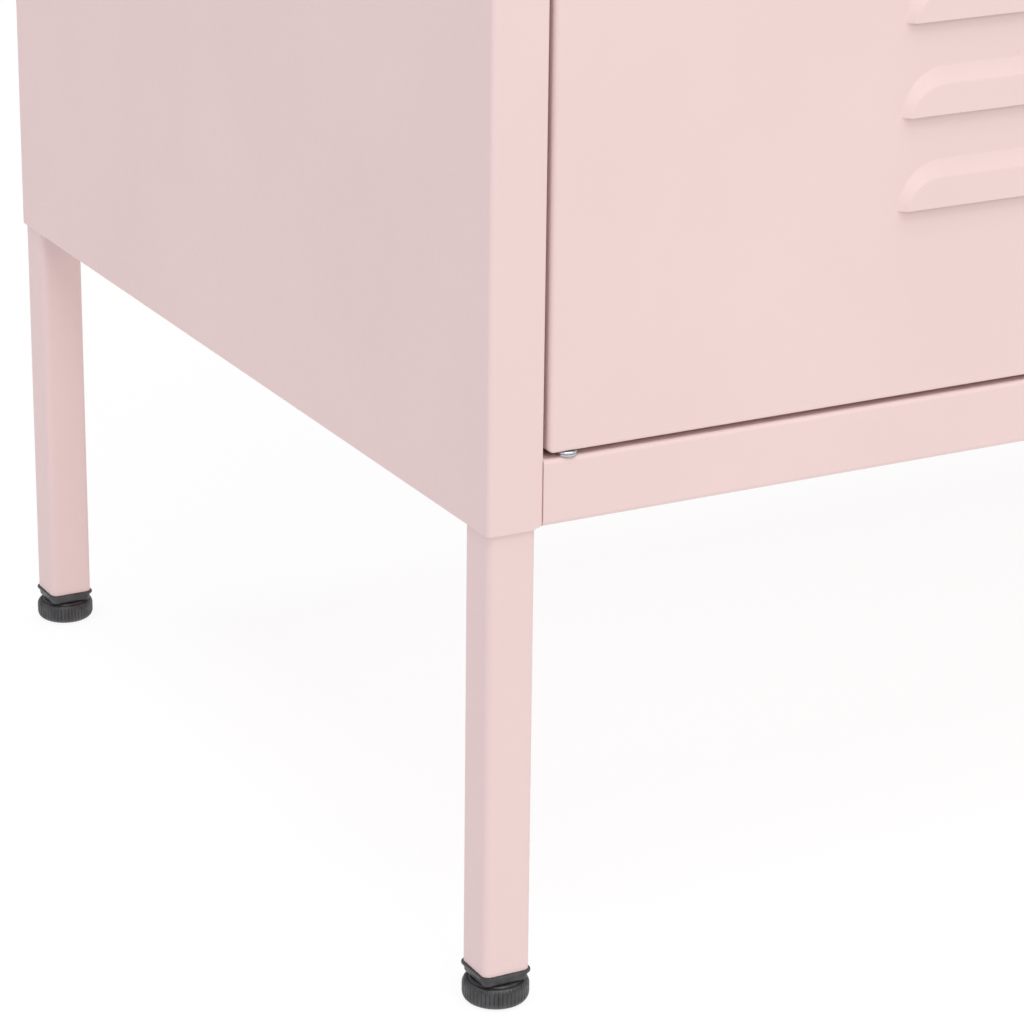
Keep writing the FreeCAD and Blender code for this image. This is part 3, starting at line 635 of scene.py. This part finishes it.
def door_rings(samples):
    """Rings of a door's pan from its flat face's edge, round the fold and in along the lip."""
    rings = []
    for step in range(ROUND_STEPS + 1):
        angle = math.pi / 2 * step / ROUND_STEPS
        ring = []
        for sample in samples:
            radius = DOOR_END_ROUND + (DOOR_SIDE_ROUND - DOOR_END_ROUND) * sample[4] ** 2
            x, z = rim_point(sample, radius * (1 - math.sin(angle)), DOOR_CORNER)
            ring.append((x, radius * (1 - math.cos(angle)), z))
        rings.append(ring)
    for step in range(ROUND_STEPS + 1):
        angle = math.pi / 2 * step / ROUND_STEPS
        inset = DOOR_BACK_ROUND * (1 - math.cos(angle))
        y = DOOR_DEPTH - DOOR_BACK_ROUND + DOOR_BACK_ROUND * math.sin(angle)
        points = [rim_point(sample, inset, DOOR_CORNER) for sample in samples]
        rings.append([(x, y, z) for x, z in points])
    points = [rim_point(sample, DOOR_LIP, DOOR_CORNER) for sample in samples]
    rings.append([(x, DOOR_DEPTH, z) for x, z in points])
    return rings


def louvre_profile(dx, dz):
    """(distance from the louvre's spine, height above the door's face) in one direction, from
    outside inwards. The flat face is elliptical at its ends, so the wall is steep at the lip."""
    reach = LOUVRE_HEIGHT - LOUVRE_END_SLOPE
    rise = LOUVRE_HEIGHT - LOUVRE_SLOPE
    face = 1 / math.hypot(dx / reach, dz / rise)
    slope = math.atan2(LOUVRE_DEPTH, LOUVRE_HEIGHT - face)
    level_share = dx * dx
    base = LOUVRE_BASE_ROUND + (LOUVRE_END_ROUND - LOUVRE_BASE_ROUND) * level_share
    brow = LOUVRE_BROW_ROUND + (LOUVRE_END_ROUND - LOUVRE_BROW_ROUND) * level_share
    base_start = LOUVRE_HEIGHT + base * math.tan(slope / 2)
    brow_end = face - brow * math.tan(slope / 2)
    profile = []
    for step in range(LOUVRE_ARC_STEPS + 1):
        angle = slope * step / LOUVRE_ARC_STEPS
        profile.append((base_start - base * math.sin(angle), base * (1 - math.cos(angle))))
    for step in range(LOUVRE_ARC_STEPS + 1):
        angle = slope * (1 - step / LOUVRE_ARC_STEPS)
        profile.append((brow_end + brow * math.sin(angle), LOUVRE_DEPTH - brow * (1 - math.cos(angle))))
    return profile


def add_louvre(bm, x0, x1, lip):
    """Press one louvre: sloping round three sides, open along its lower edge.
    Returns the edges where it meets the door's flat face."""
    columns = []
    for centre, start in ((x0 + LOUVRE_HEIGHT, math.pi), (x1 - LOUVRE_HEIGHT, math.pi / 2)):
        for step in range(LOUVRE_END_STEPS + 1):
            angle = start - math.pi / 2 * step / LOUVRE_END_STEPS
            dx, dz = math.cos(angle), math.sin(angle)
            columns.append([bm.verts.new((centre + reach * dx, -height, lip + reach * dz))
                            for reach, height in louvre_profile(dx, dz)])
    for left, right in zip(columns, columns[1:]):
        for i in range(len(left) - 1):
            bm.faces.new((left[i], right[i], right[i + 1], left[i + 1]))
    bm.faces.new([column[-1] for column in columns])
    rim = [column[0] for column in columns]
    border = [bm.edges.get(pair) for pair in zip(rim, rim[1:])]
    return border + [bm.edges.new((rim[-1], rim[0]))]


def part_flat_back(piece):
    """Keep the flat back of a door's skin flat in its shading, right up to the louvres."""
    bm = bmesh.new()
    bm.from_mesh(piece.data)
    back = FRONT_Y + SHEET * MM
    for edge in bm.edges:
        flat = [abs(face.normal.y) > FLAT and abs(face.calc_center_median().y - back) < MID * MM
                for face in edge.link_faces]
        if any(flat) and not all(flat):
            edge.smooth = False
    bm.to_mesh(piece.data)
    bm.free()


def louvre_lips():
    """Heights of the louvres' lower edges, at the foot and at the head of a door."""
    foot = [DOOR_BOTTOM + LOUVRE_FIRST + LOUVRE_PITCH * step for step in range(LOUVRES)]
    first = DOOR_TOP - LOUVRE_FIRST - LOUVRE_PITCH * (LOUVRES - 1) - LOUVRE_HEIGHT
    return foot + [first + LOUVRE_PITCH * step for step in range(LOUVRES)]


def door_skin():
    """The outer surface of the right door, as one open sheet."""
    bm = bmesh.new()
    samples = rim_samples(DOOR_INNER, DOOR_OUTER, DOOR_BOTTOM, DOOR_TOP, DOOR_CORNER)
    rim = add_band(bm, door_rings(samples))[0]
    flat = [bm.edges.get(pair) for pair in zip(rim, rim[1:] + rim[:1])]
    for lip in louvre_lips():
        flat += add_louvre(bm, DOOR_INNER + LOUVRE_MARGIN, DOOR_OUTER - LOUVRE_MARGIN, lip)
    hole = [bm.verts.new(point) for point in circle(LOCK_HOLE, 0, (LOCK_X, LOCK_Z), endwise)]
    flat += [bm.edges.new((hole[i - 1], hole[i])) for i in range(len(hole))]
    bmesh.ops.triangle_fill(bm, use_beauty=True, edges=flat, normal=(0, -1, 0))
    return bm


def build_door(side):
    """A door's pan with its holes for the pivot bushes, and the hat channel on its back."""
    body = "door_" + side
    holes = [rod(BUSH_RADIUS, z - 2 * SHEET, z + 2 * SHEET, (PIVOT_X, PIVOT_Y))
             for z in (DOOR_BOTTOM, DOOR_TOP)]
    pan = boolean(solid_sheet(door_skin()), merge(*holes))
    piece = add_piece("door_pan_" + side, pan, coat, body, "door_" + side, side)
    part_flat_back(piece)
    finish_edges(piece, DOOR_EDGE, FOLD_ANGLE)
    low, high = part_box("door_stiffener_right")
    centre = (DOOR_INNER + DOOR_OUTER) / 2
    half = (high.x - low.x) / MM / 2
    web = half - STIFFENER_FOOT
    foot = SHEET + MID
    path = [(centre - half, foot), (centre - web, foot), (centre - web, STIFFENER_DEPTH),
            (centre + web, STIFFENER_DEPTH), (centre + web, foot), (centre + half, foot)]
    hat = sheet(path, low.z / MM, high.z / MM, upright)
    stiffener = "door_stiffener_" + side
    finish_edges(add_piece("door_hat_" + side, hat, coat, body, stiffener, side))


# ---------------------------------------------------------------------------------------------
# Shelves
# ---------------------------------------------------------------------------------------------
def build_shelf(name, side):
    """A shelf tray: a flat sheet with all four edges folded down."""
    node = "shelf_" + name + "_"
    low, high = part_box(node + "right")
    x0, x1 = low.x / MM, high.x / MM
    y0, y1 = (low.y - FRONT_Y) / MM, (high.y - FRONT_Y) / MM
    bottom, top = low.z / MM, high.z / MM
    samples = rim_samples(x0, x1, y0, y1, SHELF_CORNER)
    rings = []
    for step in range(ROUND_STEPS + 1):
        angle = math.pi / 2 * step / ROUND_STEPS
        inset = SHELF_ROUND * (1 - math.sin(angle))
        points = [rim_point(sample, inset, SHELF_CORNER) for sample in samples]
        rings.append([(x, y, top - SHELF_ROUND * (1 - math.cos(angle))) for x, y in points])
    points = [rim_point(sample, 0, SHELF_CORNER) for sample in samples]
    rings.append([(x, y, bottom) for x, y in points])
    bm = bmesh.new()
    bm.faces.new(add_band(bm, rings)[0])
    piece = add_piece("tray_" + name + "_" + side, solid_sheet(bm), coat, "carcass",
                      node + side, side)
    finish_edges(piece, angle=FOLD_ANGLE)


# ---------------------------------------------------------------------------------------------
# Legs and feet
# ---------------------------------------------------------------------------------------------
def corner_centre(row):
    """The middle of the right leg in a row, seen from above."""
    low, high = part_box("leg_" + row + "_right")
    return (low.x + high.x) / 2 / MM, ((low.y + high.y) / 2 - FRONT_Y) / MM


def build_leg(row, side):
    """Square tube with rounded corners, its lower end slightly eased."""
    centre = corner_centre(row)
    outer = TUBE / 2
    inner = outer - TUBE_WALL
    ease = TUBE_EASE
    levels = [(outer - ease, LEG_BOTTOM), (outer - ease * 0.3, LEG_BOTTOM + ease * 0.3),
              (outer, LEG_BOTTOM + ease), (outer, LEG_TOP - ease), (outer - ease, LEG_TOP),
              (inner + ease, LEG_TOP), (inner, LEG_TOP - ease), (inner, LEG_BOTTOM + ease),
              (inner + ease, LEG_BOTTOM)]
    rings = [rounded_square(half, TUBE_ROUND - (outer - half), z, centre) for half, z in levels]
    tube = loft(rings, closed=True)
    corner = row + "_" + side
    even_shading(add_piece("tube_" + corner, tube, coat, "carcass", "leg_" + corner, side))


def build_insert(row, side):
    """Plastic end plug: a collar flush with the tube, a thin lip at its top, and a plug inside."""
    low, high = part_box("foot_insert_" + row + "_right")
    centre = corner_centre(row)
    lip = (high.x - low.x) / MM / 2
    bottom = low.z / MM
    top = high.z / MM
    under = LEG_BOTTOM - COLLAR_LIP
    bore = STEM_RADIUS + STEM_PLAY
    plug = TUBE / 2 - TUBE_WALL - PLUG_PLAY
    # Half width, corner radius and height of each ring, up the outside and down the bore.
    levels = [
        (bore, bore, bottom), (COLLAR - 0.7, 1.9, bottom), (COLLAR - 0.3, 2.1, bottom + 0.12),
        (COLLAR - 0.08, 2.2, bottom + 0.5), (COLLAR, 2.2, under - 0.35),
        (COLLAR + 0.06, 2.25, under - 0.1), (lip - 0.25, 2.7, under),
        (lip - 0.06, 2.85, under + 0.12), (lip, 2.9, under + 0.45),
        (lip - 0.06, 2.85, LEG_BOTTOM - 0.12), (lip - 0.25, 2.7, LEG_BOTTOM), (plug, 1.1, LEG_BOTTOM),
        (plug, 1.1, top - 1.2), (plug - 0.8, 1.0, top), (bore, bore, top),
    ]
    rings = [rounded_square(half, corner, z, centre) for half, corner, z in levels]
    corner = row + "_" + side
    piece = add_piece("end_plug_" + corner, loft(rings, closed=True), plastic, "carcass",
                      "foot_insert_" + corner, side)
    even_shading(piece)


def rib_ring(radius, depth, z, centre):
    """A ring round the foot, with rounded ribs as deep as depth."""
    steps = FOOT_RIBS * RIB_STEPS
    ring = []
    for i in range(steps):
        wave = abs(math.sin(math.pi * i / RIB_STEPS))
        reach = radius - depth * (1 - wave) ** RIB_SHARPNESS
        angle = FULL_TURN * i / steps
        ring.append((centre[0] + reach * math.cos(angle), centre[1] + reach * math.sin(angle), z))
    return ring


def build_foot(row, side):
    """Levelling foot: a ribbed disc with eased rims and a low boss, on a screw stem."""
    centre = corner_centre(row)
    full = FOOT_RADIUS
    boss = FOOT_BOSS
    # Radius, depth of the ribs and height of each ring.
    levels = [
        (full - 2.2, 0, 0.0), (full - 1.5, 0.03, 0.15), (full - 0.9, 0.09, 0.5), (full - 0.4, 0.2, 1.05),
        (full - 0.1, 0.26, 1.75), (full, 0.3, 2.4), (full, 0.3, 5.0), (full - 0.08, 0.24, 5.5),
        (full - 0.35, 0.09, 6.1), (full - 0.8, 0.03, FOOT_TOP - 0.14), (full - 1.4, 0, FOOT_TOP),
        (full - 1.9, 0, FOOT_TOP - 0.05), (full - 2.1, 0, FOOT_TOP + 0.3), (full - 2.6, 0, boss),
        (STEM_RADIUS + 0.3, 0, boss), (STEM_RADIUS, 0, boss + 0.2),
        (STEM_RADIUS, 0, STEM_TOP - 0.6), (STEM_RADIUS - 0.6, 0, STEM_TOP),
    ]
    rings = [rib_ring(radius, depth, z, centre) for radius, depth, z in levels]
    corner = row + "_" + side
    piece = add_piece("foot_" + corner, loft(rings), plastic, "foot_" + corner,
                      "levelling_foot_" + corner, side)
    even_shading(piece)


def build_washers():
    """The washers under the doors' lower pins, each with a groove round its edge."""
    low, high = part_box("pivot_washers")
    base = low.z / MM
    top = high.z / MM
    radius = high.x / MM - PIVOT_X
    ease = WASHER_EASE
    middle = (base + top) / 2
    profile = [(PIN_RADIUS, base), (radius - ease, base), (radius, base + ease),
               (radius, middle - ease / 2), (radius - WASHER_GROOVE, middle), (radius, middle + ease / 2),
               (radius, top - ease), (radius - ease, top), (PIN_RADIUS + 0.15, top),
               (PIN_RADIUS, top - 0.15)]
    rings = [loft([circle(r, z, (sign * PIVOT_X, PIVOT_Y)) for r, z in profile], closed=True)
             for sign in (-1, 1)]
    piece = add_piece("washers", merge(*rings), zinc, "carcass", "pivot_washers")
    even_shading(piece)


# ---------------------------------------------------------------------------------------------
# Build everything
# ---------------------------------------------------------------------------------------------
build_bottom_panel()
build_top_panel()
build_back_panel()
build_partition()
build_washers()
for side in SIDES:
    build_side_panel(side)
    build_door(side)
    for name in ("lower", "upper"):
        build_shelf(name, side)
    for row in ROWS:
        build_leg(row, side)
        build_insert(row, side)
        build_foot(row, side)


# ---------------------------------------------------------------------------------------------
# Floor, light and camera
# ---------------------------------------------------------------------------------------------
FLOOR_REACH = 60.0         # metres from the middle to the floor's edge
FLOOR_TONE = 0.13
FLOOR_MOTTLE = 0.005
FLOOR_GLOW = 0.88
WORLD_STRENGTH = 0.45
SENSOR = 36.0
LENS = 135.068
CAMERA_YAW = 28.3095       # degrees, as are the next two
CAMERA_PITCH = 20.2852
CAMERA_ROLL = 0.6891
CAMERA_OFFSET = (-0.46240, -0.87218, 0.37284)    # metres, from the body's lower front left corner
# Name, place, the point it faces, size, radiance and colour; lengths in metres.
LIGHTS = (
    ("overhead", (0.0, -0.6, 3.2), (0, 0, 0), 3.6, 2.5, (0.98, 1.0, 1.0)),
    ("front", (-0.5, -3.0, 1.9), (0, 0, 0.4), 1.3, 3.7, (1.0, 0.96, 0.87)),
    ("left", (-2.8, -0.6, 1.4), (0, 0, 0.4), 1.6, 0.93, (1.0, 0.77, 1.1)),
)


def make_floor():
    """Pale studio floor that also glows a little, like a lit product table."""
    material, tree, shader = new_material("studio_floor", (FLOOR_TONE,) * 3, 0.9, specular=0.1)
    tone = ramp(tree, noise(tree, 1.5), FLOOR_TONE - FLOOR_MOTTLE, FLOOR_TONE + FLOOR_MOTTLE)
    tree.links.new(tone, shader.inputs["Base Color"])
    shader.inputs["Emission Color"].default_value = (1, 1, 1, 1)
    shader.inputs["Emission Strength"].default_value = FLOOR_GLOW
    bm = bmesh.new()
    bmesh.ops.create_grid(bm, x_segments=8, y_segments=8, size=FLOOR_REACH)
    mesh = bpy.data.meshes.new("studio_floor")
    bm.to_mesh(mesh)
    bm.free()
    mesh.materials.append(material)
    floor = bpy.data.objects.new("studio_floor", mesh)
    bpy.context.scene.collection.objects.link(floor)


def add_softbox(name, place, target, size, radiance, colour):
    """A square area light of the given radiance, aimed at a point."""
    light = bpy.data.lights.new(name, "AREA")
    light.shape = "SQUARE"
    light.size = size
    light.energy = radiance * math.pi * size * size
    light.color = colour
    lamp = bpy.data.objects.new(name, light)
    lamp.location = place
    lamp.rotation_euler = (Vector(target) - Vector(place)).to_track_quat("-Z", "Y").to_euler()
    bpy.context.scene.collection.objects.link(lamp)


def set_world():
    """An even white light from all round."""
    world = bpy.data.worlds.new("studio")
    world.use_nodes = True
    background = world.node_tree.nodes["Background"]
    background.inputs["Color"].default_value = (1, 1, 1, 1)
    background.inputs["Strength"].default_value = WORLD_STRENGTH
    bpy.context.scene.world = world


def add_camera():
    """Long-lens view from the left, looking down at the lower front corner."""
    yaw = math.radians(CAMERA_YAW)
    pitch = math.radians(CAMERA_PITCH)
    roll = math.radians(CAMERA_ROLL)
    data = bpy.data.cameras.new("camera")
    data.sensor_width = SENSOR
    data.lens = LENS
    camera = bpy.data.objects.new("camera", data)
    corner = Vector((-HALF_WIDTH * MM, FRONT_Y, side_low.z))
    turn = (Matrix.Rotation(-yaw, 4, "Z") @ Matrix.Rotation(math.pi / 2 - pitch, 4, "X")
            @ Matrix.Rotation(roll, 4, "Z"))
    camera.matrix_world = Matrix.Translation(corner + Vector(CAMERA_OFFSET)) @ turn
    bpy.context.scene.collection.objects.link(camera)
    bpy.context.scene.camera = camera


make_floor()
set_world()
for light in LIGHTS:
    add_softbox(*light)
add_camera()
bpy.context.scene.view_settings.view_transform = "Standard"
